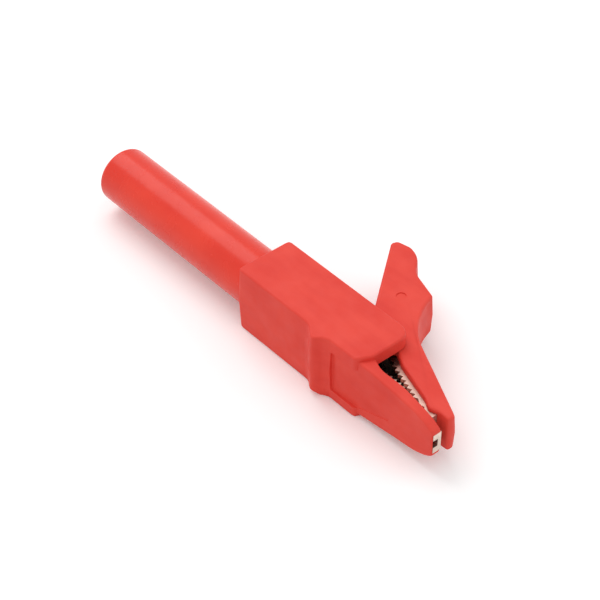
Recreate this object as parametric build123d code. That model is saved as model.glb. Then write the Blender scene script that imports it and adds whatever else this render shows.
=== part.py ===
from build123d import *
import os
from math import acos, atan2, cos, degrees, hypot, radians, sin, sqrt

# Insulated crocodile clip with a shrouded socket for a 4 mm lead plug, in millimetres.
# X runs from the lead end to the nose, Y points to the thumb lever and Z is parallel to the pivot.
# The origin is on the socket's axis, at the mouth of the metal contact sleeve.

# Contact sleeve, turned from brass
lead_bore_radius = 2.0
lead_bore_depth = 20.0
sleeve_wall = 0.95
sleeve_shank_radius = 3.1
sleeve_shank_start = 21.0
sleeve_slot_width = 0.6
sleeve_slot_length = 13.0
sleeve_mouth_chamfer = 0.35
tang_thickness = 1.6
tang_length = 7.5
tang_half_height = 2.0

# Spring ring that keeps the slotted sleeve closed on the plug
ring_wall = 0.35
ring_width = 1.6
ring_setback = 2.2
ring_gap_angle = 40.0

# Socket tube, a separate glossy moulding
shroud_bore_radius = 4.1
tube_wall = 1.15
tube_length = 40.4
socket_recess = 6.0
tube_mouth_round = 0.9
spigot_step = 0.9
spigot_length = 6.6
spigot_groove_depth = 0.3
spigot_groove_width = 1.2

# Grip block of the housing
spigot_cover = 1.3
block_rear_round = 1.0
block_edge_bevel = 0.35
block_draft = 0.3
cheek_thickness = 2.21
pivot_setback = 25.9
pivot_offset = 0.9
cheek_front_reach = 4.8
cheek_corner_radius = 2.7
near_corner_length = 1.4
near_corner_height = 2.8
slot_setback = 6.9
lobe_room = 0.4
tail_room = 0.3

# Finger guard on the near side of the block
guard_setback = 4.9
guard_rise_length = 3.0
guard_height = 2.05
guard_cove_length = 2.4
guard_cove_depth = 0.3
guard_tip_round = 0.5
guard_undercut = 1.5
undercut_lean = 0.3

# Shroud of the fixed jaw
nose_reach = 20.8
shroud_near_drop = 5.85
shroud_flare = 0.55
shroud_root_setback = 3.9
shroud_root_half_height = 6.1
shroud_waist_half_height = 5.5
shroud_waist_reach = 7.1
shroud_front_half_height = 4.4
nose_shoulder_length = 1.5
nose_half_height = 2.5
nose_round = 0.1
shroud_edge_bevel = 0.4
shroud_gap_drop = 3.0
mouth_gap_drop = 4.1
nose_gap_drop = 3.92
shroud_wall = 0.9
rim_setback = 0.1

# Plain panel sunk into the near side of the shroud
panel_depth = 0.2
panel_length = 13.2
panel_rear = -2.3
panel_lean = 0.5
panel_top = 4.1
panel_bottom = -4.3
panel_front_top = 3.0
panel_front_bottom = -2.2
panel_bend = 5.9

# Folded sheet of the two contacts
sheet = 0.7
seat_gap = 0.05
ear_gap = 0.3
ear_lobe_radius = 2.4
ear_heel = 1.6
tooth_pitch = 1.1
tooth_depth = 0.65
tooth_lean = 0.62
throat_setback = 0.5
fixed_throat_drop = 1.9
fixed_bend_reach = 10.2
pad_length = 4.1
pad_ramp = 1.2
tooth_step = 0.5
prong_length = 2.4
prong_height = 1.7
prong_flange = 0.5
nose_opening = 2.0
tail_bend_reach = 7.6
tail_start = 0.4
moving_pad_length = 2.0
hook_setback = 1.4
hook_step = 0.75
hook_tip_step = 0.95
jaw_gap = 0.2

# Outline of the moving contact near the pivot, from the pivot's axis
moving_heel = (-3.2, 5.0)
moving_corner = (-8.3, 11.4)
moving_end = (-3.0, 15.6)
moving_throat = (5.4, 0.3)

# Lever moulding
lever_wall = 1.1
lever_side_gap = 0.2
lever_lobe_radius = 3.2
lever_skin = 0.9
lever_edge_chamfer = 0.4
lever_draft = 0.2
nose_overhang = 0.35
nose_block_length = 2.4
nose_taper = 0.6
nose_taper_length = 9.0
thumb_back = 16.3
thumb_rise = 19.5
lever_rib = 0.8
lever_rib_setback = 1.4
lever_rib_places = (0.62, 0.8)
open_angle = 28.0
open_clearance = 0.35

# Outline of the lever's thumb end, from the end of its inner edge
thumb_corner = (0.5, 1.2)
thumb_top = (3.0, 1.75)
thumb_round = (5.4, 1.0)
thumb_end = (7.0, -0.4)
waist_middle = (8.4, -1.85)
waist_end = (10.4, -2.75)

# Outline of the lever near the pivot, from the pivot's axis
lever_foot = (-4.8, 4.8)
shoulder = (-1.5, 15.4)
scoop_middle = (1.1, 9.9)
scoop_end = (5.4, 6.0)
throat_middle = (7.2, 0.2)
throat_start = (4.2, 1.8)

# Outline of the lever's nose and lip, from the front end of the fixed jaw's pad
nose_outer = (-0.3, 3.07)
nose_tip = (0.35, 2.67)
nose_inner = (0.25, 1.5)
nose_step = (-2.1, 1.5)
lip = (-3.8, 0.7)
lip_back = (-5.6, 1.7)

# Pins
pin_radius = 1.0
pin_running_gap = 0.05
pin_top_cover = 1.0
plug_radius = 1.6
plug_length = 1.3
cross_pin_radius = 0.8
cross_pin_cover = 0.7
cross_pin_place = (-4.9, 11.3)
cross_pin_recess = 0.1
pin_edge = 0.15
plug_edge = 0.2
dimple_radius = 0.9
dimple_depth = 0.15

# Torsion spring
wire = 0.6
wire_sides = 8
coil_turns = 2
coil_pitch = 0.62
coil_radius = 1.65
coil_part_turn = 0.25
coil_end_gap = 0.25
lower_leg_reach = 6.3

# Rivet that joins the fixed contact to the sleeve's tang
rivet_radius = 0.8
rivet_head_radius = 1.4
rivet_head = 0.5
rivet_setback = 3.9

# Places that follow from the sizes above
sleeve_radius = lead_bore_radius + sleeve_wall
tube_radius = shroud_bore_radius + tube_wall
tube_mouth = -socket_recess
block_rear = tube_mouth + tube_length
spigot_radius = tube_radius - spigot_step
spigot_end = block_rear + spigot_length
block_half_width = spigot_radius + spigot_cover
pivot_x = block_rear + pivot_setback
pivot_y = pivot_offset
block_front = pivot_x + cheek_front_reach

coil_half_length = ((coil_turns + coil_part_turn) * coil_pitch + wire) / 2
fixed_ear_inner = coil_half_length + coil_end_gap
fixed_ear_outer = fixed_ear_inner + sheet
moving_ear_inner = fixed_ear_outer + ear_gap
moving_ear_outer = moving_ear_inner + sheet
lever_pocket_half = moving_ear_outer + seat_gap
lever_half = lever_pocket_half + lever_wall
slot_half = lever_half + lever_side_gap
block_half_height = slot_half + cheek_thickness

near_face = -block_half_width
web_outer = pivot_y - shroud_near_drop + shroud_wall
nose_x = pivot_x + nose_reach
pad_face = pivot_y - nose_gap_drop
tang_end = spigot_end + tang_length
slot_rear = pivot_x - slot_setback
web_seat = web_outer - seat_gap
moving_pad_far = nose_x - nose_block_length - seat_gap
moving_pad_near = moving_pad_far - moving_pad_length
web_shift = 0.8 * sheet
from_low = (Align.CENTER, Align.CENTER, Align.MIN)


def from_pivot(dx, dy):
    """A point in plan, given from the pivot's axis."""
    return (pivot_x + dx, pivot_y + dy)


def from_thumb(dx, dy):
    """A point in plan, given from the thumb end of the lever's inner edge."""
    return from_pivot(-thumb_back + dx, thumb_rise + dy)


def from_pad(dx, dy):
    """A point in plan, given from the front end of the fixed jaw's pad."""
    return (nose_x + dx, pad_face + dy)


def turned(dx, dy, angle):
    """A point given from the pivot, after the lever has turned by an angle."""
    c, s = cos(radians(angle)), sin(radians(angle))
    return from_pivot(dx * c - dy * s, dx * s + dy * c)


def plan(*points):
    """A flat face in plan from its corners."""
    return make_face(Polyline(*points, close=True))


def slab(face, half_height):
    """A face in plan made into a plate, as thick above the centre plane as below it."""
    return extrude(face, amount=half_height, both=True)


def drafted(face, half_height, draft, edge):
    """A moulded plate that is widest at its parting plane and has bevelled edges."""
    middle = offset(face, amount=draft, kind=Kind.INTERSECTION)
    shoulder = Pos(0, 0, half_height - edge) * face
    upper = loft([middle, shoulder], ruled=True)
    if edge:
        top = Pos(0, 0, half_height) * offset(face, amount=-edge, kind=Kind.INTERSECTION)
        upper += loft([shoulder, top], ruled=True)
    return upper + mirror(upper, about=Plane.XY)


def post(x, y, radius, low, high):
    """A round post parallel to the pivot."""
    return Pos(x, y, (low + high) / 2) * Cylinder(radius, high - low)


def pivot_bore(radius):
    """The hole for the hinge pin, as a post through the whole clip."""
    return post(pivot_x, pivot_y, radius, -block_half_height, block_half_height)


def pivot_disc(radius):
    """A round face in plan about the pivot."""
    return Pos(pivot_x, pivot_y) * Circle(radius)


def teeth(start, end, depth):
    """Points of a row of teeth from start to end, standing to the left of the way."""
    length = hypot(end[0] - start[0], end[1] - start[1])
    ux, uy = (end[0] - start[0]) / length, (end[1] - start[1]) / length
    count = max(2, round(length / tooth_pitch))
    pitch = length / count
    points = []
    for i in range(count):
        along = i * pitch
        points.append((start[0] + ux * along, start[1] + uy * along))
        tip = along + pitch * tooth_lean
        points.append((start[0] + ux * tip - uy * depth, start[1] + uy * tip + ux * depth))
    return points


def turned_profile(points):
    """A solid of revolution about the socket's axis, from a profile of (x, radius)."""
    return revolve(make_face(Polyline(*points, close=True)), Axis.X)


# The socket tube: outer tube, shroud bore for the plug's sleeve and spigot that enters the block
def socket_tube():
    tube = turned_profile([
        (tube_mouth, shroud_bore_radius),
        (tube_mouth, tube_radius),
        (block_rear, tube_radius),
        (block_rear, spigot_radius),
        (spigot_end, spigot_radius),
        (spigot_end, sleeve_shank_radius),
        (sleeve_shank_start, sleeve_shank_radius),
        (sleeve_shank_start, shroud_bore_radius),
    ])
    rim = tube.edges().filter_by(GeomType.CIRCLE).group_by(Axis.X)[0].sort_by(SortBy.RADIUS)[-1]
    tube = fillet(rim, min(tube_mouth_round, tube_wall * 0.8))
    groove_middle = block_rear + spigot_length / 2
    ring = Cylinder(tube_radius, spigot_groove_width)
    ring -= Cylinder(spigot_radius - spigot_groove_depth, spigot_groove_width)
    return tube - Pos(groove_middle, 0, 0) * Rot(0, 90, 0) * ring


# The contact sleeve: slotted barrel, pressed shank and flat tang for the rivet
def socket_sleeve():
    sleeve = turned_profile([
        (0, lead_bore_radius),
        (0, sleeve_radius - sleeve_mouth_chamfer),
        (sleeve_mouth_chamfer, sleeve_radius),
        (sleeve_shank_start, sleeve_radius),
        (sleeve_shank_start, sleeve_shank_radius),
        (spigot_end, sleeve_shank_radius),
        (spigot_end, 0),
        (lead_bore_depth, 0),
        (lead_bore_depth, lead_bore_radius),
    ])
    from_mouth = (Align.MIN, Align.CENTER, Align.CENTER)
    sleeve -= Box(sleeve_slot_length, sleeve_slot_width, 4 * sleeve_radius, align=from_mouth)
    groove = Cylinder(sleeve_radius + ring_wall, ring_width)
    groove -= Cylinder(sleeve_radius - ring_wall, ring_width)
    sleeve -= Pos(ring_setback + ring_width / 2, 0, 0) * Rot(0, 90, 0) * groove
    tang = Box(tang_length, tang_thickness, 2 * tang_half_height, align=from_mouth)
    sleeve += Pos(spigot_end, 0, 0) * tang
    hole = Rot(90, 0, 0) * Cylinder(rivet_radius, 4 * tang_thickness)
    return sleeve - Pos(spigot_end + rivet_setback, 0, 0) * hole


# The spring ring: an open ring of sheet steel in the sleeve's groove
def sleeve_ring():
    ring = Cylinder(sleeve_radius, ring_width) - Cylinder(sleeve_radius - ring_wall, ring_width)
    half_gap = radians(ring_gap_angle / 2)
    reach = 2 * sleeve_radius * cos(half_gap)
    spread = 2 * sleeve_radius * sin(half_gap)
    ring -= slab(plan((0, 0), (reach, spread), (reach, -spread)), ring_width)
    return Pos(ring_setback + ring_width / 2, 0, 0) * Rot(0, 90, 0) * ring


# The rivet through tang and tail
def contact_rivet():
    low = -tang_thickness / 2 - sheet
    high = tang_thickness / 2
    shank = Cylinder(rivet_radius, high - low, align=from_low)
    head = Cylinder(rivet_head_radius, rivet_head, align=from_low)
    head = chamfer(head.edges().group_by(Axis.Z)[-1], rivet_head / 2)
    rivet = Pos(0, 0, low) * shank + Pos(0, 0, high) * head
    rivet += Pos(0, 0, low) * Rot(180, 0, 0) * head
    return Pos(spigot_end + rivet_setback, 0, 0) * Rot(-90, 0, 0) * rivet


# Plan of the fixed contact's ears: pivot lobe, two rows of teeth, nose pad and back edge
def fixed_contact_plan():
    throat = from_pivot(ear_lobe_radius + throat_setback, -fixed_throat_drop)
    bend = from_pivot(fixed_bend_reach, -fixed_throat_drop)
    pad_start = nose_x - pad_length
    last_tooth = (pad_start - pad_ramp, pad_face + tooth_step)
    ears = plan(
        from_pivot(-ear_lobe_radius, 0),
        from_pivot(0, 0),
        throat,
        *teeth(throat, bend, tooth_depth)[1:],
        *teeth(bend, last_tooth, tooth_depth),
        last_tooth,
        (pad_start - pad_ramp / 4, pad_face),
        (nose_x, pad_face),
        (nose_x, pad_face - prong_height),
        (nose_x - prong_length, pad_face - prong_height),
        (pad_start, web_outer),
        (pivot_x - ear_lobe_radius - ear_heel, web_outer),
    )
    return ears + pivot_disc(ear_lobe_radius)


# Plan of the strip that runs from the ears' web back to the sleeve's tang
def fixed_tail_plan():
    tail_near = -tang_thickness / 2 - sheet
    tail_far = -tang_thickness / 2
    web_start = pivot_x - ear_lobe_radius - ear_heel / 2
    bend_end = pivot_x - tail_bend_reach
    bend_start = tang_end + tail_start
    skew = sheet / 2
    return plan(
        (spigot_end + tail_start, tail_near),
        (spigot_end + tail_start, tail_far),
        (bend_start, tail_far),
        (bend_end, web_outer + sheet),
        (web_start, web_outer + sheet),
        (web_start, web_outer),
        (bend_end - skew, web_outer),
        (bend_start - skew, tail_near),
    )


# The fixed contact: a folded channel with toothed edges, a closed pad at the nose and a tail
def fixed_jaw_contact():
    ears = fixed_contact_plan()
    between = 2 * fixed_ear_inner
    channel = slab(ears, fixed_ear_outer) - slab(Pos(0, sheet) * ears, fixed_ear_inner)
    opening = Box(nose_reach, shroud_near_drop, between, align=(Align.MIN, Align.MAX, Align.CENTER))
    channel -= Pos(nose_x - nose_opening, pad_face - sheet, 0) * opening
    pad = Box(pad_length, sheet, between, align=(Align.MAX, Align.MAX, Align.CENTER))
    flanges = Box(sheet, prong_height, between, align=(Align.MAX, Align.MAX, Align.CENTER))
    flanges -= Box(3 * sheet, 3 * prong_height, between - 2 * prong_flange)
    channel += Pos(nose_x, pad_face, 0) * (pad + flanges)
    channel += slab(fixed_tail_plan(), tang_half_height)
    channel -= pivot_bore(pin_radius)
    hole = Rot(90, 0, 0) * Cylinder(rivet_radius, 4 * tang_thickness)
    return channel - Pos(spigot_end + rivet_setback, 0, 0) * hole


# Plan of the lever moulding: thumb lever, scooped shoulder and straight back of the moving jaw
def lever_plan():
    foot = from_pivot(*lever_foot)
    top = from_thumb(*thumb_top)
    end = from_thumb(*thumb_end)
    waist = from_thumb(*waist_end)
    scoop = [from_pivot(*point) for point in (shoulder, scoop_middle, scoop_end)]
    nose = [from_pad(*point) for point in (nose_outer, nose_tip, nose_inner, nose_step, lip, lip_back)]
    throat = from_pivot(*throat_start)
    lobe_front = from_pivot(0.7 * lever_lobe_radius, -0.5 * lever_lobe_radius)
    lobe_rear = from_pivot(-0.8 * lever_lobe_radius, -0.35 * lever_lobe_radius)
    outline = [
        Polyline(foot, from_thumb(0, 0), from_thumb(*thumb_corner), top),
        ThreePointArc(top, from_thumb(*thumb_round), end),
        ThreePointArc(end, from_thumb(*waist_middle), waist),
        Line(waist, scoop[0]),
        ThreePointArc(*scoop),
        Polyline(scoop[-1], *nose, from_pivot(*throat_middle), throat),
        Polyline(throat, lobe_front, lobe_rear, foot),
    ]
    return make_face(outline) + pivot_disc(lever_lobe_radius)


# Plan of the lever's hollow: the same outline moved inwards, so that the inner side stays open
def lever_pocket_plan():
    hollow = Pos(-lever_skin, -lever_skin) * lever_plan() + pivot_disc(lever_lobe_radius + lever_skin)
    keep = Rectangle(2 * (nose_reach + thumb_back), 4 * thumb_rise, align=(Align.MAX, Align.CENTER))
    return hollow & Pos(nose_x - nose_block_length, 0) * keep


# The lever moulding: thumb lever and shroud of the moving jaw in one hollow piece
def lever_shell():
    body = drafted(lever_plan(), lever_half, lever_draft, lever_edge_chamfer)
    taper_start = nose_x - nose_taper_length
    taper_end = nose_x + nose_overhang
    far_back = pivot_x - 2 * thumb_back
    side_view = Plane.XZ * plan(
        (far_back, -lever_half),
        (taper_start, -lever_half),
        (taper_end, -lever_half + nose_taper),
        (taper_end, lever_half - nose_taper),
        (taper_start, lever_half),
        (far_back, lever_half),
    )
    body &= extrude(side_view, amount=3 * thumb_rise, both=True)
    shell = body - slab(lever_pocket_plan(), lever_pocket_half)
    for along in lever_rib_places:
        shell += lever_cross_rib(along)
    shell -= pivot_bore(pin_radius + pin_running_gap)
    pin_x, pin_y = from_pivot(*cross_pin_place)
    shell -= post(pin_x, pin_y, cross_pin_radius, -lever_half, lever_half - cross_pin_cover)
    return shell - post(pin_x, pin_y, dimple_radius, lever_half - dimple_depth, lever_half)


# A stiffening rib across the lever's hollow, at a share of the way from foot to thumb end
def lever_cross_rib(along):
    edge = Line(from_pivot(*lever_foot), from_thumb(0, 0))
    strip = Rectangle(lever_rib, thumb_rise / 2, align=(Align.CENTER, Align.MAX))
    across = Plane(origin=edge @ along, x_dir=edge % along, z_dir=(0, 0, 1))
    strip = across * Pos(0, -lever_rib_setback) * strip
    return slab(strip & lever_pocket_plan() & lever_plan(), lever_pocket_half)


# The pin through the lever and the moving contact, blind under the lever's upper face
def lever_cross_pin():
    pin_x, pin_y = from_pivot(*cross_pin_place)
    low = -lever_half + cross_pin_recess
    pin = post(pin_x, pin_y, cross_pin_radius, low, lever_half - cross_pin_cover)
    return chamfer(pin.edges().filter_by(GeomType.CIRCLE), pin_edge)


# Plan of the moving contact's ears: it lies along the inside of the lever's outer wall
def moving_contact_plan():
    inset = lever_skin + seat_gap
    pad = Rectangle(moving_pad_length, 2 * nose_step[1], align=(Align.MIN, Align.CENTER))
    lining = Pos(-inset, -inset) * lever_plan() + Pos(moving_pad_near, pad_face) * pad
    hook_x = moving_pad_near - hook_setback
    last_tooth = (hook_x - tooth_pitch, pad_face + nose_step[1])
    throat = from_pivot(*moving_throat)
    region = plan(
        from_pivot(-ear_lobe_radius, 0),
        from_pivot(*moving_heel),
        from_pivot(*moving_corner),
        from_pivot(*moving_end),
        (moving_pad_far, pivot_y + thumb_rise),
        (moving_pad_far, pad_face + jaw_gap),
        (moving_pad_near, pad_face + jaw_gap),
        (moving_pad_near - hook_setback / 3, pad_face + hook_tip_step),
        (hook_x, pad_face + hook_step),
        *teeth(last_tooth, throat, tooth_depth),
        throat,
        from_pivot(ear_lobe_radius, 0),
        from_pivot(0, 0),
    )
    return (region & lining) + pivot_disc(ear_lobe_radius)


# The moving contact: a folded channel with toothed edges and a closed pad at the nose
def moving_jaw_contact():
    ears = moving_contact_plan()
    hollow = Pos(-web_shift, -web_shift) * ears + pivot_disc(ear_lobe_radius + sheet)
    channel = slab(ears, moving_ear_outer) - slab(hollow, moving_ear_inner)
    pad = Box(moving_pad_length, sheet, 2 * moving_ear_inner, align=(Align.MIN, Align.MIN, Align.CENTER))
    channel += Pos(moving_pad_near, pad_face + jaw_gap, 0) * pad
    channel -= pivot_bore(pin_radius + pin_running_gap)
    pin_x, pin_y = from_pivot(*cross_pin_place)
    return channel - post(pin_x, pin_y, cross_pin_radius, -lever_half, lever_half)


# Plan of the grip block with its finger guard and the rounded cheeks at the front
def block_plan():
    rear_corner = (block_rear, near_face)
    tip = (pivot_x - guard_setback, near_face - guard_height)
    rise_start = (tip[0] - guard_rise_length, near_face)
    cove_end = (tip[0] + guard_cove_length, near_face)
    cove_x = (tip[0] + cove_end[0]) / 2 - 0.7 * guard_cove_depth
    cove_y = (tip[1] + near_face) / 2 + guard_cove_depth
    near_corner = (block_front - near_corner_length, near_face)
    front_low = (block_front, near_face + near_corner_height)
    front_high = (block_front, block_half_width - cheek_corner_radius)
    far_corner = (block_front - cheek_corner_radius, block_half_width)
    outline = [
        Polyline(rear_corner, rise_start, tip),
        ThreePointArc(tip, (cove_x, cove_y), cove_end),
        Polyline(cove_end, near_corner, front_low, front_high),
        RadiusArc(front_high, far_corner, -cheek_corner_radius),
        Polyline(far_corner, (block_rear, block_half_width), rear_corner),
    ]
    return make_face(outline)


# The outside of the grip block
def grip_block():
    outline = block_plan()
    outline = fillet(outline.vertices().group_by(Axis.X)[0], block_rear_round)
    outline = fillet(outline.vertices().group_by(Axis.Y)[0], guard_tip_round)
    block = drafted(outline, block_half_height, block_draft, block_edge_bevel)
    outside = near_face - guard_height - 2 * undercut_lean
    below = -block_half_height - undercut_lean
    undercut = Plane.YZ * plan(
        (outside, below),
        (outside + guard_undercut + 2 * undercut_lean, below),
        (outside + undercut_lean, -block_half_height + guard_undercut),
        (outside, -block_half_height + guard_undercut),
    )
    return block - Pos(block_rear, 0, 0) * extrude(undercut, amount=2 * pivot_setback)


def shroud_section(x, near, gap, half_height):
    """Cross-section of the fixed jaw's shroud at one place along X."""
    face = Rectangle(gap - near, 2 * half_height)
    face = Pos((near + gap) / 2, 0) * chamfer(face.vertices(), shroud_edge_bevel)
    return Plane(origin=(x, 0, 0), x_dir=(0, 1, 0), z_dir=(1, 0, 0)) * face


# The shroud of the fixed jaw: a tapering shell that rounds in at the nose
def fixed_shroud():
    near = pivot_y - shroud_near_drop
    gap = pivot_y - shroud_gap_drop
    mouth_gap = pivot_y - mouth_gap_drop
    nose_gap = pad_face - rim_setback
    waist_x = pivot_x + shroud_waist_reach
    pad_x = nose_x - pad_length
    middle_x = (waist_x + pad_x) / 2
    shoulder_x = nose_x - nose_shoulder_length
    root = shroud_root_half_height
    waist = shroud_waist_half_height
    front = shroud_front_half_height
    shoulder_height = (front + nose_half_height) / 2
    sections = [
        shroud_section(pivot_x - shroud_root_setback, near - shroud_flare, gap, root),
        shroud_section(pivot_x, near - 0.8 * shroud_flare, gap, root - rim_setback),
        shroud_section(waist_x, near - 0.2 * shroud_flare, mouth_gap, waist),
        shroud_section(middle_x, near, (gap + mouth_gap) / 2 - rim_setback, (waist + front) / 2),
        shroud_section(pad_x, near, nose_gap, front),
        shroud_section(shoulder_x, near, nose_gap, shoulder_height + rim_setback),
        shroud_section(nose_x, near + nose_round, nose_gap, nose_half_height),
    ]
    return loft(sections, ruled=True)


def spigot_bore():
    """The bore for the tube's spigot, with room for the tube where the block's draft bulges."""
    inward = Rot(0, 90, 0)
    bore = Pos(block_rear, 0, 0) * inward * Cylinder(spigot_radius, spigot_length, align=from_low)
    room = Cylinder(tube_radius, 2 * block_draft, align=from_low)
    return bore + Pos(block_rear - 2 * block_draft, 0, 0) * inward * room


def tail_channel():
    """The channel for the sleeve's tang, the rivet and the fixed contact's tail."""
    near = -tang_thickness / 2 - sheet - rivet_head - tail_room
    far = tang_thickness / 2 + rivet_head + tail_room
    channel = plan(
        (spigot_end, near),
        (tang_end - 2 * tail_room, near),
        (slot_rear - 3 * tail_room, web_seat),
        (slot_rear + sheet, web_seat),
        (slot_rear + sheet, far),
        (spigot_end, far),
    )
    return slab(channel, tang_half_height + tail_room)


def lever_slot():
    """The slot between the cheeks, whose rear wall leans back to let the lever open."""
    foot_x, foot_y = turned(*lever_foot, open_angle)
    end_x, end_y = turned(-thumb_back, thumb_rise, open_angle)
    lean = (end_y - foot_y) / (end_x - foot_x)
    wall_y = foot_y + lean * (slot_rear - foot_x) - open_clearance
    outside = block_half_width + cheek_thickness
    front = block_front + cheek_thickness
    floor = pivot_y - lever_lobe_radius - lobe_room
    shelf = pivot_y - shroud_gap_drop + lever_side_gap
    slot = plan(
        (slot_rear, floor),
        (slot_rear, wall_y),
        (slot_rear + (outside - wall_y) / lean, outside),
        (front, outside),
        (front, shelf),
        (pivot_x + lever_lobe_radius + 2 * lobe_room, shelf),
        (pivot_x + lever_lobe_radius + lobe_room, floor),
    )
    return slab(slot, slot_half)


def contact_seat():
    """The recess that the fixed contact lies in, open to the mouth of the jaws."""
    pad_x = nose_x - pad_length
    seat = offset(fixed_contact_plan(), amount=seat_gap, kind=Kind.INTERSECTION)
    mouth = plan(
        (slot_rear, web_seat),
        (pad_x, web_seat),
        (pad_x, pad_face - sheet),
        (nose_x + pad_length, pad_face - sheet),
        (nose_x + pad_length, pivot_y + ear_lobe_radius),
        (slot_rear, pivot_y + ear_lobe_radius),
    )
    return slab(seat + mouth, fixed_ear_outer + seat_gap)


# The hollow of the housing: spigot bore, tail channel, lever slot and the fixed contact's seat
def housing_hollow():
    return spigot_bore() + tail_channel() + lever_slot() + contact_seat()


# The bare panel in the near side of the fixed jaw's shroud
def panel_recess():
    floor = pivot_y - shroud_near_drop - shroud_flare + panel_depth
    surface = Plane(
        origin=(pivot_x + panel_rear, floor, 0),
        x_dir=(panel_length, panel_lean, 0),
        z_dir=(panel_lean, -panel_length, 0),
    )
    outline = plan(
        (0, panel_top),
        (0, panel_bottom),
        (panel_bend, panel_bottom),
        (panel_length, panel_front_bottom),
        (panel_length, panel_front_top),
        (panel_bend, panel_top),
    )
    return extrude(surface * outline, amount=guard_height)


# The housing: grip block and fixed shroud in one moulding
def housing():
    shell = grip_block() + fixed_shroud()
    shell -= panel_recess()
    shell -= housing_hollow()
    pin_top = block_half_height - pin_top_cover
    plug_floor = -block_half_height + plug_length
    shell -= post(pivot_x, pivot_y, pin_radius, -block_half_height, pin_top)
    return shell - post(pivot_x, pivot_y, plug_radius, -block_half_height, plug_floor)


# The hinge pin, blind in the upper cheek
def pivot_pin():
    pin_top = block_half_height - pin_top_cover
    pin = post(pivot_x, pivot_y, pin_radius, -block_half_height + plug_length, pin_top)
    return chamfer(pin.edges().filter_by(GeomType.CIRCLE), pin_edge)


# The insulating plug under the pin
def pin_plug():
    plug = post(pivot_x, pivot_y, plug_radius, -block_half_height, -block_half_height + plug_length)
    return chamfer(plug.edges().group_by(Axis.Z)[-1], plug_edge)


def leg_from_coil(seat_dx, seat_dy, way):
    """Angle on the coil and length of a leg that leaves along the tangent and ends at its seat."""
    reach = hypot(seat_dx, seat_dy)
    swing = degrees(acos(coil_radius / reach))
    return degrees(atan2(seat_dy, seat_dx)) - way * swing, sqrt(reach ** 2 - coil_radius ** 2)


def leg_end(angle, way, length, level):
    """The free end of a straight leg that leaves the coil along its tangent."""
    a = radians(angle)
    along = way * length
    return (*from_pivot(coil_radius * cos(a) - along * sin(a), coil_radius * sin(a) + along * cos(a)), level)


# The torsion spring: coil on the pin, one leg on the fixed web and one in the lever
def torsion_spring():
    off_seat = wire / 2 + seat_gap
    leg_seat = web_outer + sheet + off_seat - pivot_y
    lining = lever_skin + seat_gap + web_shift
    lever_seat_x = scoop_middle[0] - lining - 0.8 * off_seat
    lever_seat_y = scoop_middle[1] - lining - 0.6 * off_seat
    start, lower_length = leg_from_coil(-lower_leg_reach, leg_seat, -1)
    finish, upper_length = leg_from_coil(lever_seat_x, lever_seat_y, 1)
    turn = coil_turns + ((finish - start) % 360) / 360
    low = -coil_half_length + wire / 2
    high = coil_half_length - wire / 2
    helix = Helix(pitch=(high - low) / turn, height=high - low, radius=coil_radius)
    coil = Pos(pivot_x, pivot_y, low) * Rot(0, 0, start) * helix
    lower = Line(leg_end(start, -1, lower_length, low), coil @ 0)
    upper = Line(coil @ 1, leg_end(finish, 1, upper_length, high))
    path = Wire([lower.edge(), coil.edge(), upper.edge()])
    section = Plane(origin=path @ 0, z_dir=path % 0) * RegularPolygon(wire / 2, round(wire_sides))
    return sweep(section, path=path, is_frenet=True, transition=Transition.TRANSFORMED)


pieces = {
    "housing": housing,
    "socket_tube": socket_tube,
    "socket_sleeve": socket_sleeve,
    "sleeve_ring": sleeve_ring,
    "contact_rivet": contact_rivet,
    "fixed_jaw_contact": fixed_jaw_contact,
    "lever_shell": lever_shell,
    "moving_jaw_contact": moving_jaw_contact,
    "lever_cross_pin": lever_cross_pin,
    "pivot_pin": pivot_pin,
    "pin_plug": pin_plug,
    "torsion_spring": torsion_spring,
}

os.makedirs("parts", exist_ok=True)
for name, make in pieces.items():
    export_step(make(), f"parts/{name}.step")
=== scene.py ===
import bmesh
import bpy
import numpy as np
from mathutils import Matrix, Vector


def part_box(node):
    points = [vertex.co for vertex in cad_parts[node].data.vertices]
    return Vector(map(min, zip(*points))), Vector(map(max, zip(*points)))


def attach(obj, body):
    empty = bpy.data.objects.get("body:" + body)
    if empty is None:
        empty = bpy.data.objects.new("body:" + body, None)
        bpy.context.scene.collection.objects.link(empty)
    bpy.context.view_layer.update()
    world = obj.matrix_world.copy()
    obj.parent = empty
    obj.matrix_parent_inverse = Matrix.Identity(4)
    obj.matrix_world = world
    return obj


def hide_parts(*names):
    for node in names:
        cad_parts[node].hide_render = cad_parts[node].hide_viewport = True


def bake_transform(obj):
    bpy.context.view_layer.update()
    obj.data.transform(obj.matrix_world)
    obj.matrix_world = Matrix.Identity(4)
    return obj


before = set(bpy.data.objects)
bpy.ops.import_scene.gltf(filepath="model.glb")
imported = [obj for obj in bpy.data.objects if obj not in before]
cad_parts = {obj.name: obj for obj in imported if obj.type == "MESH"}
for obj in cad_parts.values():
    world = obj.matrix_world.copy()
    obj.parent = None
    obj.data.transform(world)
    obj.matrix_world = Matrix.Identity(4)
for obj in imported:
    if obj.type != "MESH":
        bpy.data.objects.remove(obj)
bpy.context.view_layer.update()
MM = 0.001


# Socket tube: a long glossy moulding in red polyamide that shrouds the plug of a lead. Its spigot
# is pressed into the grip block, so the tube stops sharply there, and its mouth is rounded.

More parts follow.
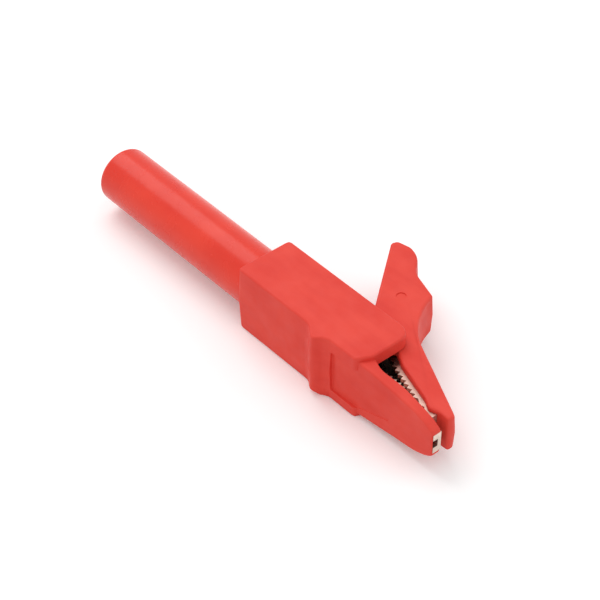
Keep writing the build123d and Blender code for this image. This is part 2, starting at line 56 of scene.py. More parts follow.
def skin(name, rings):
    """A closed surface over rings of points in millimetres: ring i is joined to ring i + 1 with
    four-sided faces, and one flat face closes each end."""
    count, size = rings.shape[:2]
    index = np.arange(count * size).reshape(count, size)
    after = np.roll(index, -1, axis=1)
    sides = np.stack([index[:-1], after[:-1], after[1:], index[1:]], axis=-1).reshape(-1, 4)
    mesh = bpy.data.meshes.new(name)
    faces = sides.tolist() + [index[0].tolist(), index[-1].tolist()]
    mesh.from_pydata((rings.reshape(-1, 3) * MM).tolist(), [], faces)
    work = bmesh.new()
    work.from_mesh(mesh)
    bmesh.ops.remove_doubles(work, verts=work.verts, dist=1e-6)
    bmesh.ops.recalc_face_normals(work, faces=work.faces)
    work.to_mesh(mesh)
    work.free()
    piece = bpy.data.objects.new(name, mesh)
    bpy.context.collection.objects.link(piece)
    return piece


def smooth(piece, angle=35):
    """Shades a piece smooth, but for its edges that are sharper than an angle in degrees."""
    piece.data.shade_smooth()
    piece.data.set_sharp_from_angle(angle=np.radians(angle))
    even = piece.modifiers.new("even_shading", "WEIGHTED_NORMAL")
    even.keep_sharp = True
    return piece


def quarter(steps=7):
    """Sine and one less cosine of a quarter turn, for a rounded edge of radius 1."""
    turn = np.linspace(0, np.pi / 2, steps)
    return np.sin(turn), 1 - np.cos(turn)


def turned(name, x, radius, sides=128):
    """A turned piece about the socket's axis, which is X: every point of the profile (x, radius)
    goes round the circle y = radius cos a, z = radius sin a, and the profile is a closed loop."""
    a = np.linspace(0, 2 * np.pi, sides + 1)[:, None]
    rings = np.stack([x + 0 * a, radius * np.cos(a), radius * np.sin(a)], axis=-1)
    piece = skin(name, rings)
    work = bmesh.new()
    work.from_mesh(piece.data)
    ends = [face for face in work.faces if len(face.verts) > 4]
    bmesh.ops.delete(work, geom=ends, context="FACES_ONLY")
    work.to_mesh(piece.data)
    work.free()
    return piece


def new_finish(name, roughness, metallic=0.0):
    """A material whose constants sit on the shader's own sockets, with its node tree."""
    finish = bpy.data.materials.new(name)
    finish.use_nodes = True
    shader = finish.node_tree.nodes["Principled BSDF"]
    shader.inputs["Roughness"].default_value = roughness
    shader.inputs["Metallic"].default_value = metallic
    return finish, finish.node_tree, shader


def add_node(tree, kind, settings=None, **inputs):
    """One node of a finish. Inputs are values or another node's output, by the socket's name."""
    node = tree.nodes.new(kind)
    for name, value in (settings or {}).items():
        setattr(node, name, value)
    for name, value in inputs.items():
        socket = node.inputs[name.replace("_", " ")]
        if isinstance(value, bpy.types.NodeSocket):
            tree.links.new(value, socket)
        else:
            socket.default_value = value
    return node


def grain(tree, size, detail=2.0, stretch=(1, 1, 1)):
    """Noise in the piece's own coordinates, with features of a size in millimetres."""
    place = add_node(tree, "ShaderNodeTexCoord").outputs["Object"]
    place = add_node(tree, "ShaderNodeMapping", Vector=place, Scale=stretch).outputs[0]
    scale = 1 / (size * MM)
    noise = add_node(tree, "ShaderNodeTexNoise", Vector=place, Scale=scale, Detail=detail)
    return noise.outputs["Fac"]


def spread(tree, value, low, high, to_low, to_high):
    """A value's range carried over to another range, clamped."""
    node = add_node(tree, "ShaderNodeMapRange", Value=value)
    ends = {"From Min": low, "From Max": high, "To Min": to_low, "To Max": to_high}
    for name, number in ends.items():
        node.inputs[name].default_value = number
    return node.outputs["Result"]


def worked_out(tree, operation, first, second):
    """The sum, the product or the larger one of two values."""
    node = add_node(tree, "ShaderNodeMath", {"operation": operation})
    tree.links.new(first, node.inputs[0])
    tree.links.new(second, node.inputs[1])
    return node.outputs[0]


def two_tone(tree, share, first, second):
    """A colour between two others."""
    node = add_node(tree, "ShaderNodeMix", {"data_type": "RGBA"})
    tree.links.new(share, node.inputs[0])
    node.inputs[6].default_value = (*first, 1)
    node.inputs[7].default_value = (*second, 1)
    return node.outputs[2]


def relief(tree, height, depth, under=None):
    """Fine relief of a depth in millimetres, from a height between 0 and 1."""
    bump = add_node(tree, "ShaderNodeBump", Height=height, Distance=depth * MM)
    if under:
        tree.links.new(under, bump.inputs["Normal"])
    return bump.outputs["Normal"]


def moulded_plastic(name, red, roughness, pit, depth):
    """Dyed polyamide: its tone and gloss drift over some millimetres, faint flow streaks run
    along the moulding, and pits of the mould's surface are fine relief over a long, shallow
    unevenness."""
    finish, tree, shader = new_finish(name, roughness)
    drift = grain(tree, 7, 3.0)
    streaks = grain(tree, 3, 3.0, (0.25, 1, 1))
    mixed = worked_out(tree, "ADD", drift, streaks)
    darker = (red[0] * 0.94, red[1] * 0.84, red[2] * 0.84)
    lighter = (min(1.0, red[0] * 1.03), red[1] * 1.2, red[2] * 1.2)
    tone = two_tone(tree, spread(tree, mixed, 0.75, 1.25, 0, 1), darker, lighter)
    tree.links.new(tone, shader.inputs["Base Color"])
    gloss = spread(tree, grain(tree, 2.2, 5.0), 0.3, 0.7, roughness * 0.86, roughness * 1.14)
    tree.links.new(gloss, shader.inputs["Roughness"])
    shader.inputs["Specular IOR Level"].default_value = 0.28
    sunk = relief(tree, grain(tree, 3.5, 1.0), 0.025)
    tree.links.new(relief(tree, grain(tree, pit, 2.0), depth, sunk), shader.inputs["Normal"])
    return finish


TUBE_RED = (0.78, 0.041, 0.021)
TUBE_MOUTH, TUBE_END, SPIGOT_END, SHANK = -6.0, 34.4, 41.0, 21.0
TUBE_RADIUS, SPIGOT_RADIUS, BORE, SHANK_RADIUS = 5.25, 4.35, 4.1, 3.1
MOUTH_EDGE, BORE_EDGE, END_EDGE = 0.9, 0.25, 0.12
rise, run = quarter(9)
tube = turned(
    "socket_tube_moulding",
    np.concatenate([
        [SHANK, TUBE_MOUTH + BORE_EDGE],
        TUBE_MOUTH + BORE_EDGE * run[::-1][1:],
        TUBE_MOUTH + MOUTH_EDGE * run,
        [TUBE_END - END_EDGE],
        TUBE_END - END_EDGE + END_EDGE * rise[3::3],
        [TUBE_END, SPIGOT_END, SPIGOT_END, SHANK],
    ]),
    np.concatenate([
        [BORE, BORE],
        BORE + BORE_EDGE * (1 - rise[::-1])[1:],
        TUBE_RADIUS - MOUTH_EDGE + MOUTH_EDGE * rise,
        [TUBE_RADIUS],
        TUBE_RADIUS - END_EDGE * run[3::3],
        [SPIGOT_RADIUS, SPIGOT_RADIUS, SHANK_RADIUS, SHANK_RADIUS],
    ]),
)
glossy_red = moulded_plastic("glossy_red_polyamide", TUBE_RED, 0.26, 1.1, 0.004)
tube.data.materials.append(glossy_red)
smooth(tube)
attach(tube, "handle")
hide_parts("socket_tube")


# Contact sleeve: turned from brass and nickel plated, slit so that it springs on the plug's pin.
# Its shank is pressed into the tube, and its tang carries the rivet.

PIVOT_X, PIVOT_Y = 60.3, 0.9


def length_of(tree, vector):
    """The length of a vector."""
    node = add_node(tree, "ShaderNodeVectorMath", {"operation": "LENGTH"})
    tree.links.new(vector, node.inputs[0])
    return node.outputs["Value"]


def painted_hinge_shade(tree, tone):
    """A colour darkened round the hinge by painted shade, for the shaded throat between the jaws:
    the share falls with the distance from the pivot's axis, in millimetres, and is broken up by
    noise."""
    place = add_node(tree, "ShaderNodeTexCoord").outputs["Object"]
    to_axis = (-PIVOT_X * MM, -PIVOT_Y * MM, 0)
    near = add_node(tree, "ShaderNodeMapping", Vector=place, Location=to_axis).outputs[0]
    flat = add_node(tree, "ShaderNodeVectorMath", {"operation": "MULTIPLY"})
    tree.links.new(near, flat.inputs[0])
    flat.inputs[1].default_value = (1 / MM, 1 / MM, 0)
    uneven = spread(tree, grain(tree, 1.2, 3.0), 0.3, 0.7, -1.2, 1.2)
    reach = worked_out(tree, "ADD", length_of(tree, flat.outputs[0]), uneven)
    share = spread(tree, reach, 4.5, 8.5, 0, 1)
    mix = add_node(tree, "ShaderNodeMix", {"data_type": "RGBA"})
    tree.links.new(share, mix.inputs[0])
    # The dark colour of the painted shade round the hinge.
    mix.inputs[6].default_value = (0.035, 0.024, 0.018, 1)
    tree.links.new(tone, mix.inputs[7])
    return mix.outputs[2]


def drawn_metal(name, colour, roughness, line, stretch, depth, shaded_at_hinge=False):
    """Metal whose fine lines run along the way that it was turned, rolled or drawn, with a faint
    cloudy tarnish, and where asked, shade painted round the hinge."""
    finish, tree, shader = new_finish(name, roughness, 1.0)
    lines = grain(tree, line, 3.0, stretch)
    darker = tuple(0.84 * c for c in colour)
    tone = two_tone(tree, spread(tree, grain(tree, 2, 4.0), 0.35, 0.65, 0, 1), darker, colour)
    # Painted shade: the sheet is darkened round the hinge, so that the throat between the jaws
    # reads dark.
    if shaded_at_hinge:
        tone = painted_hinge_shade(tree, tone)
    tree.links.new(tone, shader.inputs["Base Color"])
    gloss = spread(tree, lines, 0.3, 0.7, roughness * 0.75, roughness * 1.25)
    tree.links.new(gloss, shader.inputs["Roughness"])
    tree.links.new(relief(tree, lines, depth), shader.inputs["Normal"])
    return finish


SEAM_GAP, FLAT_ANGLE, EDGE_ANGLE = 0.002, 1, 28


def dress(node, finish, edge):
    """Gives a CAD piece its finish, and edges rounded by a width in millimetres."""
    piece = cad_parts[node]
    piece.data.materials.clear()
    piece.data.materials.append(finish)
    weld = piece.modifiers.new("joined_faces", "WELD")
    weld.merge_threshold = SEAM_GAP * MM
    flat = piece.modifiers.new("flat_faces", "DECIMATE")
    flat.decimate_type = "DISSOLVE"
    flat.angle_limit = np.radians(FLAT_ANGLE)
    soft = piece.modifiers.new("soft_edges", "BEVEL")
    soft.width = edge * MM
    soft.segments = 2
    soft.limit_method = "ANGLE"
    soft.angle_limit = np.radians(EDGE_ANGLE)
    even = piece.modifiers.new("even_shading", "WEIGHTED_NORMAL")
    even.keep_sharp = True
    return piece


plated_brass = drawn_metal(
    "nickel_plated_brass", (0.9, 0.84, 0.74), 0.2, 0.12, (1, 0.05, 0.05), 0.002,
)
dress("socket_sleeve", plated_brass, 0.12)


# Spring ring and rivet: the ring of spring steel keeps the slit sleeve closed on the plug, and the
# brass rivet joins the sleeve's tang to the tail of the fixed contact.

spring_steel = drawn_metal("spring_steel", (0.62, 0.61, 0.6), 0.3, 0.15, (1, 1, 0.2), 0.002)
dress("sleeve_ring", spring_steel, 0.05)
dress("contact_rivet", plated_brass, 0.08)


# Grip block: the rear part of the housing, moulded in satin red polyamide. It has a finger guard on
# its near side, two cheeks that hold the hinge pin and a slot that the lever swings in.

def eased(corners, size=0.6, steps=6):
    """A closed outline whose corners are rounded: each one becomes the quadratic curve from a point
    before it to a point after it, at a distance of size, or of 0.45 of its side where that is less.
    The size is one number, or a number for each corner."""
    corners, size = np.array(corners, float), np.reshape(size, (-1, 1))
    to_last = np.roll(corners, 1, axis=0) - corners
    to_next = np.roll(corners, -1, axis=0) - corners
    last, next_one = np.hypot(*to_last.T)[:, None], np.hypot(*to_next.T)[:, None]
    start = corners + to_last / last * np.minimum(size, 0.45 * last)
    end = corners + to_next / next_one * np.minimum(size, 0.45 * next_one)
    s = np.linspace(0, 1, steps)[None, :, None]
    curve = (1 - s) ** 2 * start[:, None] + 2 * s * (1 - s) * corners[:, None]
    curve = curve + s ** 2 * end[:, None]
    return curve.reshape(-1, 2)


def arc(start, through, end, steps=14):
    """Points of the circle that goes from start through a third point to end: its centre is where
    the three distances are equal, and the angle runs evenly between the ends."""
    a, b, c = np.array(start, float), np.array(through, float), np.array(end, float)
    sides = 2 * np.array([b - a, c - a])
    centre = np.linalg.solve(sides, np.array([b @ b - a @ a, c @ c - a @ a]))
    angles = np.arctan2(*(np.array([a, b, c]) - centre).T[::-1])
    way = np.sign(np.cross(b - a, c - b))
    sweep = (way * (angles[2] - angles[0])) % (2 * np.pi)
    turn = angles[0] + way * np.linspace(0, sweep, steps)
    return centre + np.hypot(*(a - centre)) * np.stack([np.cos(turn), np.sin(turn)], axis=1)


def plate(outline, half_height, edge=0.0, draft=0.0, steps=6):
    """Rings of a plate with rounded edges: the outline in plan is carried up a profile. At each
    height the outline's points move inwards along their normals by edge (1 - cos a), where the
    height is half_height - edge (1 - sin a), and outwards by the draft at the middle."""
    rise, run = quarter(steps)
    high = np.concatenate([[0, half_height - edge - 0.02], half_height - edge + edge * rise])
    inset = np.concatenate([[-draft, 0], edge * run])
    z = np.concatenate([-high[:0:-1], high])[:, None]
    inset = np.concatenate([inset[:0:-1], inset])[:, None]
    along = np.roll(outline, -1, axis=0) - np.roll(outline, 1, axis=0)
    along /= np.hypot(*along.T)[:, None]
    area = np.sum(np.cross(outline, np.roll(outline, -1, axis=0)))
    out_x, out_y = np.sign(area) * along[:, 1], -np.sign(area) * along[:, 0]
    x, y = outline[:, 0] - inset * out_x, outline[:, 1] - inset * out_y
    return np.stack([x, y, z + 0 * out_x], axis=-1)


BLOCK_REAR, BLOCK_FRONT, HALF_WIDTH, HALF_HEIGHT = 34.4, 65.1, 5.65, 6.5075
GUARD_X, GUARD_Y = 55.4, -7.74
CHEEK_ROUND, BLOCK_EDGE, BLOCK_DRAFT = 2.7, 0.42, 0.3
cheek_arc = arc(
    (BLOCK_FRONT, HALF_WIDTH - CHEEK_ROUND), (BLOCK_FRONT - 0.79, HALF_WIDTH - 0.79),
    (BLOCK_FRONT - CHEEK_ROUND, HALF_WIDTH), 9,
)
cove = arc((GUARD_X, GUARD_Y), (56.39, -6.375), (57.8, -HALF_WIDTH), 9)
block_corners = [
    (BLOCK_REAR, -HALF_WIDTH), (GUARD_X - 3, -HALF_WIDTH), cove[0], *cove[4:],
    (BLOCK_FRONT - 1.4, -HALF_WIDTH), (BLOCK_FRONT, -HALF_WIDTH + 2.8), *cheek_arc,
    (BLOCK_REAR, HALF_WIDTH),
]
block_outline = eased(block_corners, [0.9] * 8 + [0.5] * 2 + [0.9] * 10)
housing = skin("housing_moulding", plate(block_outline, HALF_HEIGHT, BLOCK_EDGE, BLOCK_DRAFT))


# Fixed jaw's shroud: the front of the same moulding. It tapers to the nose with rounded edges, its
# near side has a shallow bare panel, and the contact lies in its open seat.

def combine(piece, operation, others):
    """Joins other shapes to a piece or takes them out of it, and drops them."""
    for other in others:
        step = piece.modifiers.new("core", "BOOLEAN")
        step.operation = operation
        step.solver = "EXACT"
        step.object = other
    bpy.context.view_layer.update()
    graph = bpy.context.evaluated_depsgraph_get()
    result = bpy.data.meshes.new_from_object(piece.evaluated_get(graph))
    result.materials.clear()
    piece.modifiers.clear()
    piece.data = result
    for other in others:
        bpy.data.objects.remove(other)


def cut_away(piece, *cores):
    """Takes cores out of a moulding, as its mould does."""
    combine(piece, "DIFFERENCE", cores)


def block_core(name, outline, half_height):
    """A core with upright walls, from its outline in plan."""
    return skin(name, plate(np.array(outline, float), half_height))


def round_core(name, x, y, radius, low, high, sides=64):
    """A round core parallel to the pivot: points on the circle x + r cos a, y + r sin a."""
    a = np.linspace(0, 2 * np.pi, sides, endpoint=False)
    ring = np.stack([x + radius * np.cos(a), y + radius * np.sin(a), 0 * a], axis=1)
    return skin(name, np.stack([ring + (0, 0, low), ring + (0, 0, high)]))


def along_x(x, *rows):
    """Values that follow a row of (place, value) pairs, eased by averaging over 1.6 mm."""
    reach = np.linspace(-0.8, 0.8, 9)
    places = x[:, None] + reach
    return [np.interp(places, *np.array(row).T).mean(axis=1)[:, None] for row in rows]


SHROUD_REAR, SHROUD_FRONT, SHROUD_STEPS, SHROUD_EDGE = 56.4, 80.6, 60, 0.42
NOSE_START, NOSE_ROUND, NOSE_INSET = 80.65, 0.45, 0.35
near_row = [(SHROUD_REAR, -5.5), (60.3, -5.39), (67.4, -5.06), (72.2, -4.95), (82.0, -4.95)]
roof_row = [
    (SHROUD_REAR, -2.75), (63.8, -2.75), (64.5, -2.2), (65.4, -2.6), (67.4, -3.2), (72.2, -2.75),
    (77.0, -3.12), (82.0, -3.12),
]
half_row = [
    (SHROUD_REAR, 6.1), (60.3, 6.0), (67.4, 5.5), (77.0, 4.4), (79.6, 3.55), (82.0, 1.87),
]


def shroud_rings():
    """Rings of the shroud: at each place along X the section is a rectangle with rounded corners,
    whose sides follow the near side, the roof and the height, and whose front end is rounded."""
    rise, run = quarter(7)
    straight = np.linspace(SHROUD_REAR, SHROUD_FRONT, SHROUD_STEPS)
    x = np.concatenate([straight, NOSE_START + NOSE_ROUND * rise])
    near, roof, half = along_x(x, near_row, roof_row, half_row)
    inset = np.concatenate([np.zeros(SHROUD_STEPS), NOSE_INSET * run])[:, None]
    near, half, roof = near + inset, half - inset, roof - 0.3 * inset
    size = np.minimum(SHROUD_EDGE, 0.45 * (roof - near))
    turn = np.linspace(0, np.pi / 2, 8)
    corners = [
        (near, -half, 1, 1, np.pi), (roof, -half, -1, 1, 1.5 * np.pi),
        (roof, half, -1, -1, 0), (near, half, 1, -1, 0.5 * np.pi),
    ]
    y = [side + to_y * size + size * np.cos(first + turn) for side, _, to_y, _, first in corners]
    z = [end + to_z * size + size * np.sin(first + turn) for _, end, _, to_z, first in corners]
    y, z = np.hstack(y), np.hstack(z)
    return np.stack([x[:, None] + 0 * y, y, z], axis=-1)


PANEL_X, PANEL_Y, PANEL_CORE_HALF, PANEL_EDGE = PIVOT_X - 2.3, -5.3, 1.5, 0.12
PANEL_LEAN = np.arctan2(0.5, 13.2)
panel_corners = [(0, 4.1), (0, -4.3), (5.9, -4.3), (13.2, -2.2), (13.2, 3.0), (5.9, 4.1)]


def panel_core():
    """The core of the bare panel: a plate with rounded edges, whose floor leans with the near
    side. Its point at s along the panel and out of its floor lies at PANEL_X + s cos a + out sin a
    and PANEL_Y + s sin a - out cos a, where a is the lean."""
    rings = plate(eased(panel_corners, 0.4), PANEL_CORE_HALF, PANEL_EDGE)
    s, z, depth = np.moveaxis(rings, -1, 0)
    out = depth + PANEL_CORE_HALF
    x = PANEL_X + s * np.cos(PANEL_LEAN) + out * np.sin(PANEL_LEAN)
    y = PANEL_Y + s * np.sin(PANEL_LEAN) - out * np.cos(PANEL_LEAN)
    return skin("panel_core", np.stack([x, y, z], axis=-1))


SLOT_REAR, SLOT_HALF, SEAT_HALF, TAIL_HALF = 53.4, 4.2975, 1.9975, 2.3
PIN_BORE, PIN_BORE_TOP, PLUG_BORE, PLUG_BORE_TOP = 1.0, 5.5075, 1.62, -5.2
slot_points = [
    (SLOT_REAR, -2.7), (SLOT_REAR, 2.716), (41.825, 7.86), (67.31, 7.86), (67.31, -1.9),
    (64.3, -1.9), (63.9, -2.7),
]
seat_points = [
    (SLOT_REAR, -4.1), (77.0, -4.1), (77.0, -3.77), (78.65, -3.77), (78.65, -4.77), (83.0, -4.77),
    (83.0, 3.3), (SLOT_REAR, 3.3),
]
tail_points = [(41.0, -2.3), (47.9, -2.3), (52.5, -4.1), (54.1, -4.1), (54.1, 1.6), (41.0, 1.6)]
undercut_points = np.array([(-12, -0.7), (-4.5, -8.2), (-12, -8.2)])
undercut_ends = [np.column_stack([np.full(3, x), undercut_points]) for x in (45.0, 60.0)]
spigot_x = np.array([34.0, 35.0, 35.0, SPIGOT_END, SPIGOT_END, 34.0])
spigot_radius = np.array([5.3, 5.3, SPIGOT_RADIUS, SPIGOT_RADIUS, 0.01, 0.01])
combine(housing, "UNION", [skin("shroud", shroud_rings())])
cut_away(
    housing,
    skin("undercut_core", np.stack(undercut_ends)),
    panel_core(),
    block_core("slot_core", slot_points, SLOT_HALF),
    block_core("seat_core", seat_points, SEAT_HALF),
    block_core("tail_core", tail_points, TAIL_HALF),
    round_core("plug_core", PIVOT_X, PIVOT_Y, PLUG_BORE, -7.0, PLUG_BORE_TOP),
    round_core("pin_core", PIVOT_X, PIVOT_Y, PIN_BORE, -6.0, PIN_BORE_TOP),
    turned("spigot_core", spigot_x, spigot_radius),
)
GRIP_RED = (0.765, 0.053, 0.035)
satin_red = moulded_plastic("satin_red_polyamide", GRIP_RED, 0.56, 0.16, 0.005)
housing.data.materials.append(satin_red)
smooth(housing)
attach(housing, "handle")
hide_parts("housing")


# Fixed contact: a channel folded from nickel-plated steel sheet, with teeth on both ears, a closed
# pad at the nose and a tail that is riveted to the sleeve.

ROLLING_LINES = (0.08, 1, 1)
# Its sheet is painted darker round the hinge, as shade in the throat between the jaws.
plated_sheet = drawn_metal(
    "nickel_plated_sheet", (0.8, 0.66, 0.56), 0.36, 0.2, ROLLING_LINES, 0.002, shaded_at_hinge=True,
)
dress("fixed_jaw_contact", plated_sheet, 0.08)


# Hinge pin and its plug: a plain steel pin, blind in the upper cheek, that the lever and both
# contacts turn on. A red plug closes its hole underneath and insulates it.

dress("pivot_pin", spring_steel, 0.05)
dress("pin_plug", satin_red, 0.1)


# Torsion spring: round spring wire, coiled on the hinge pin. Its lower leg rests on the fixed
# contact and its upper one in the lever, so the coil winds up as the clip opens.

def tube_along(name, path, radius, sides=20):
    """A wire: a circle carried along a path of points. Its plane is square to the path, and its
    first axis is the part of Z that is square to the path."""
    way = np.gradient(path, axis=0)
    way /= np.linalg.norm(way, axis=1)[:, None]
    first = np.array([0, 0, 1.0]) - way * way[:, 2:3]
    first /= np.linalg.norm(first, axis=1)[:, None]
    second = np.cross(way, first)
    a = np.linspace(0, 2 * np.pi, sides, endpoint=False)[None, :, None]
    rings = path[:, None] + radius * (np.cos(a) * first[:, None] + np.sin(a) * second[:, None])
    return skin(name, rings)


COIL_RADIUS, WIRE, COIL_HALF = 1.65, 0.3, 0.6975
lower_foot, upper_foot = np.array([54.0, -3.0]), np.array([60.1, 9.35])


def tangent_place(foot, way):
    """The angle on the coil at which a straight leg to a foot leaves it: the leg is a tangent, so
    it makes a right angle with the radius."""
    dx, dy = foot - (PIVOT_X, PIVOT_Y)
    reach = np.hypot(dx, dy)
    return np.arctan2(dy, dx) - way * np.arccos(COIL_RADIUS / reach)


coil_start, coil_end = tangent_place(lower_foot, -1), tangent_place(upper_foot, 1)
sweep = 4 * np.pi + (coil_end - coil_start) % (2 * np.pi)
share = np.linspace(0, 1, 160)
coil = np.column_stack([
    PIVOT_X + COIL_RADIUS * np.cos(coil_start + sweep * share),
    PIVOT_Y + COIL_RADIUS * np.sin(coil_start + sweep * share),
    -COIL_HALF + 2 * COIL_HALF * share,
])
leg_share = np.linspace(0, 1, 14)[:-1, None]
lower_leg = (1 - leg_share) * (*lower_foot, -COIL_HALF) + leg_share * coil[0]
upper_leg = (1 - leg_share) * (*upper_foot, COIL_HALF) + leg_share * coil[-1]
wire_path = np.concatenate([lower_leg, coil, upper_leg[::-1]])
spring = tube_along("torsion_spring_wire", wire_path, WIRE)
spring.data.materials.append(spring_steel)
smooth(spring)
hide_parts("torsion_spring")
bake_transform(spring)


# Moving contact: the second folded channel, with a row of teeth on each ear that meets the fixed
# one's and a hooked pad at the nose. It lies in the lever and turns with it.

# This sheet is painted darker and pinker than the fixed contact's, as painted shade and a painted
# reflection of the red lever walls round it, and darker still round the hinge as painted shade.
red_reflection_sheet = drawn_metal(
    "plated_sheet_painted_red_reflection", (0.72, 0.5, 0.42), 0.42, 0.2, ROLLING_LINES, 0.002, shaded_at_hinge=True,
)
dress("moving_jaw_contact", red_reflection_sheet, 0.08)


# Lever: the thumb lever and the moving jaw's shroud, one hollow moulding in the same satin red
# polyamide. It is open on its inner side, and its hollow holds the moving contact.

LEVER_HALF, LEVER_POCKET, LEVER_EDGE, LEVER_DRAFT, LEVER_WALL = 4.0975, 2.9975, 0.5, 0.2, 0.9
LOBE_RADIUS = 3.2
TAPER_START, TAPER_LENGTH, TAPER_DEPTH, POCKET_FRONT = 72.1, 9.35, 0.6, 78.7
CROSS_X, CROSS_Y = 55.4, 12.2
thumb_tip, inner_foot = np.array([44.0, 20.4]), np.array([55.5, 5.7])
lobe_turn = np.radians(np.linspace(165, 365, 15))
lobe = np.stack([np.cos(lobe_turn), np.sin(lobe_turn)], axis=1) * LOBE_RADIUS
lobe = lobe + (PIVOT_X, PIVOT_Y)
scoop = arc((65.7, 6.9), (61.4, 10.8), (58.8, 16.3), 13)
thumb_step = arc((54.4, 17.65), (52.4, 18.55), (51.0, 20.0), 7)
thumb_end = arc((51.0, 20.0), (49.4, 21.4), (47.0, 22.15), 9)[1:]
lever_outline = eased([
    thumb_tip, inner_foot, *lobe, (64.5, 2.7), (67.5, 1.1), (75.5, -1.32), (77.3, -2.32),
    (79.0, -1.52), (81.2, -1.52), (81.25, -0.35), (80.7, 0.05), *scoop, *thumb_step, *thumb_end,
    (44.5, 21.6),
], 0.55)

# The upper and lower faces lean in towards the nose, by TAPER_DEPTH over TAPER_LENGTH.
rings = plate(lever_outline, LEVER_HALF, LEVER_EDGE, LEVER_DRAFT)
taper = np.clip((rings[..., 0] - TAPER_START) / TAPER_LENGTH, 0, 1)
rings[..., 2] *= 1 - TAPER_DEPTH / LEVER_HALF * taper
lever = skin("lever_moulding", rings)

# The hollow is the outline moved in from the outer wall. It ends at a front wall that leans by a
# thousandth of a millimetre, which keeps its points apart.
hollow = lever_outline - LEVER_WALL
front_wall = POCKET_FRONT - 0.001 * np.arange(len(hollow)) / len(hollow)
hollow[:, 0] = np.minimum(hollow[:, 0], front_wall)
cut_away(
    lever,
    block_core("hollow_core", hollow, LEVER_POCKET),
    round_core("lobe_core", PIVOT_X, PIVOT_Y, 4.1, -LEVER_POCKET, LEVER_POCKET),
    round_core("bore_core", PIVOT_X, PIVOT_Y, 1.05, -5, 5),
    round_core("cross_pin_core", CROSS_X, CROSS_Y, 0.8, -5, 3.4),
    round_core("dimple_core", CROSS_X, CROSS_Y, 0.9, 3.95, 5),
)
lever.data.materials.append(satin_red)
smooth(lever)
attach(lever, "lever")
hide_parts("lever_shell")

RIB_HALF, RIB_ROOT = 0.4, 1.4
inner_edge = thumb_tip - inner_foot
edge_way = inner_edge / np.hypot(*inner_edge)
across = np.array([edge_way[1], -edge_way[0]])
for number, place, reach in ((1, 0.62, 5.3), (2, 0.8, 4.9)):
    root = inner_foot + place * inner_edge
    offsets = [
        (-RIB_HALF, RIB_ROOT), (RIB_HALF, RIB_ROOT), (RIB_HALF, reach), (-RIB_HALF, reach),
    ]
    corners = [root + a * edge_way + b * across for a, b in offsets]
    rib = skin(f"lever_rib_{number}", plate(eased(corners, 0.12, 4), LEVER_POCKET + 0.2, 0.0))
    rib.data.materials.append(satin_red)
    smooth(rib)
    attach(rib, "lever")
    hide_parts("lever_shell")


# Cross pin: a short steel pin through the lever and the moving contact, pressed in from below and
# blind under the dimple of the lever's upper face.

dress("lever_cross_pin", spring_steel, 0.05)


# Bench: a plain pale sheet that the clip lies on. The camera and the reflections see it white, also
# far from the lamps. It throws less light back at the clip, and it keeps the clip's soft shadow.

def seen_clearly(tree):
    """1 for the rays of the camera, of reflections and of clear materials, and 0 for the rays that
    bring light to the clip."""
    rays = add_node(tree, "ShaderNodeLightPath").outputs
    clear = worked_out(tree, "MAXIMUM", rays["Is Glossy Ray"], rays["Is Transmission Ray"])
    return worked_out(tree, "MAXIMUM", rays["Is Camera Ray"], clear)


BENCH_BOUNCE, GLOW_NEAR, GLOW_FAR, GLOW_FROM, GLOW_TO = 0.85, 0.1, 0.42, 0.15, 0.6
bpy.ops.mesh.primitive_plane_add(size=6.0, location=(0.04, 0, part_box("housing")[0].z))
bench = bpy.context.object
bench.name = "bench"
paper, tree, shader = new_finish("pale_paper", 0.9)
shader.inputs["Specular IOR Level"].default_value = 0.0
tone = two_tone(tree, grain(tree, 400, 2.0), (0.96, 0.96, 0.96), (0.98, 0.98, 0.98))
seen = seen_clearly(tree)
shown = add_node(tree, "ShaderNodeVectorMath", {"operation": "SCALE"}, Vector=tone)
tree.links.new(spread(tree, seen, 0, 1, BENCH_BOUNCE, 1), shown.inputs["Scale"])
tree.links.new(shown.outputs[0], shader.inputs["Base Color"])
away = length_of(tree, add_node(tree, "ShaderNodeTexCoord").outputs["Object"])
growing = spread(tree, away, GLOW_FROM, GLOW_TO, GLOW_NEAR, GLOW_FAR)
strength = worked_out(tree, "MULTIPLY", seen, growing)
glow = add_node(tree, "ShaderNodeEmission", Strength=strength)
both = add_node(tree, "ShaderNodeAddShader")
tree.links.new(shader.outputs[0], both.inputs[0])
tree.links.new(glow.outputs[0], both.inputs[1])
tree.links.new(both.outputs[0], tree.nodes["Material Output"].inputs["Surface"])
bench.data.materials.append(paper)


# Studio: a white room gives most of the light. Of its three soft lamps, the main one stands above
# the socket's end, and two weak ones are on the near side and low on the far side of the nose.

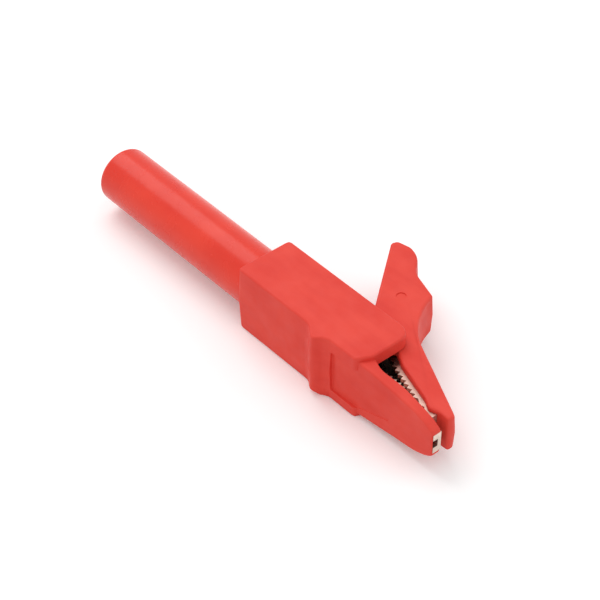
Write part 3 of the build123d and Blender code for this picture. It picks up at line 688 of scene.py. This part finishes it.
ROOM_LEVEL, LAMP_DISTANCE = 0.78, 0.6
world = bpy.data.worlds.new("white_room")
world.use_nodes = True
room = world.node_tree
room.nodes["Background"].inputs["Color"].default_value = (1, 1, 1, 1)
level = spread(room, seen_clearly(room), 0, 1, ROOM_LEVEL, 1.0)
room.links.new(level, room.nodes["Background"].inputs["Strength"])
bpy.context.scene.world = world
middle = Vector((0.045, 0.0, 0.0))


def soft_lamp(name, way, size, power):
    """A square soft lamp that looks at the middle of the clip."""
    light = bpy.data.lights.new(name, "AREA")
    light.size = size
    light.energy = power
    lamp = bpy.data.objects.new(name, light)
    lamp.location = middle + Vector(way).normalized() * LAMP_DISTANCE
    lamp.rotation_mode = "QUATERNION"
    lamp.rotation_quaternion = (middle - lamp.location).to_track_quat("-Z", "Y")
    bpy.context.collection.objects.link(lamp)


soft_lamp("main_lamp", (-0.57, 0.05, 0.82), 0.42, 1.2)
soft_lamp("near_lamp", (0.1, -0.8, 0.5), 0.5, 0.2)
soft_lamp("nose_lamp", (0.45, 0.85, 0.42), 0.5, 0.35)


# Camera: at the photograph's place and angle, as fitted to the outline of the clip. FOCAL_PIXELS is
# its focal length in pixels of the square photograph.

AZIMUTH, ELEVATION = np.radians(49.337), np.radians(41.531)
SENSOR, FOCAL_PIXELS, PHOTO_PIXELS = 36.0, 1950.21, 600
right = Vector((np.cos(AZIMUTH), np.sin(AZIMUTH), 0))
level_back = Vector((np.sin(AZIMUTH), -np.cos(AZIMUTH), 0))
back = level_back * np.cos(ELEVATION) + Vector((0, 0, np.sin(ELEVATION)))
lens = bpy.data.cameras.new("photograph")
lens.sensor_width = SENSOR
lens.lens = SENSOR * FOCAL_PIXELS / PHOTO_PIXELS
lens.clip_start = 0.01
lens.clip_end = 20.0
camera = bpy.data.objects.new("photograph", lens)
bpy.context.collection.objects.link(camera)
camera.rotation_mode = "QUATERNION"
camera.rotation_quaternion = Matrix((right, back.cross(right), back)).transposed().to_quaternion()
camera.location = (0.22885, -0.159, 0.21853)
bpy.context.scene.camera = camera
bpy.context.scene.view_settings.view_transform = "Standard"
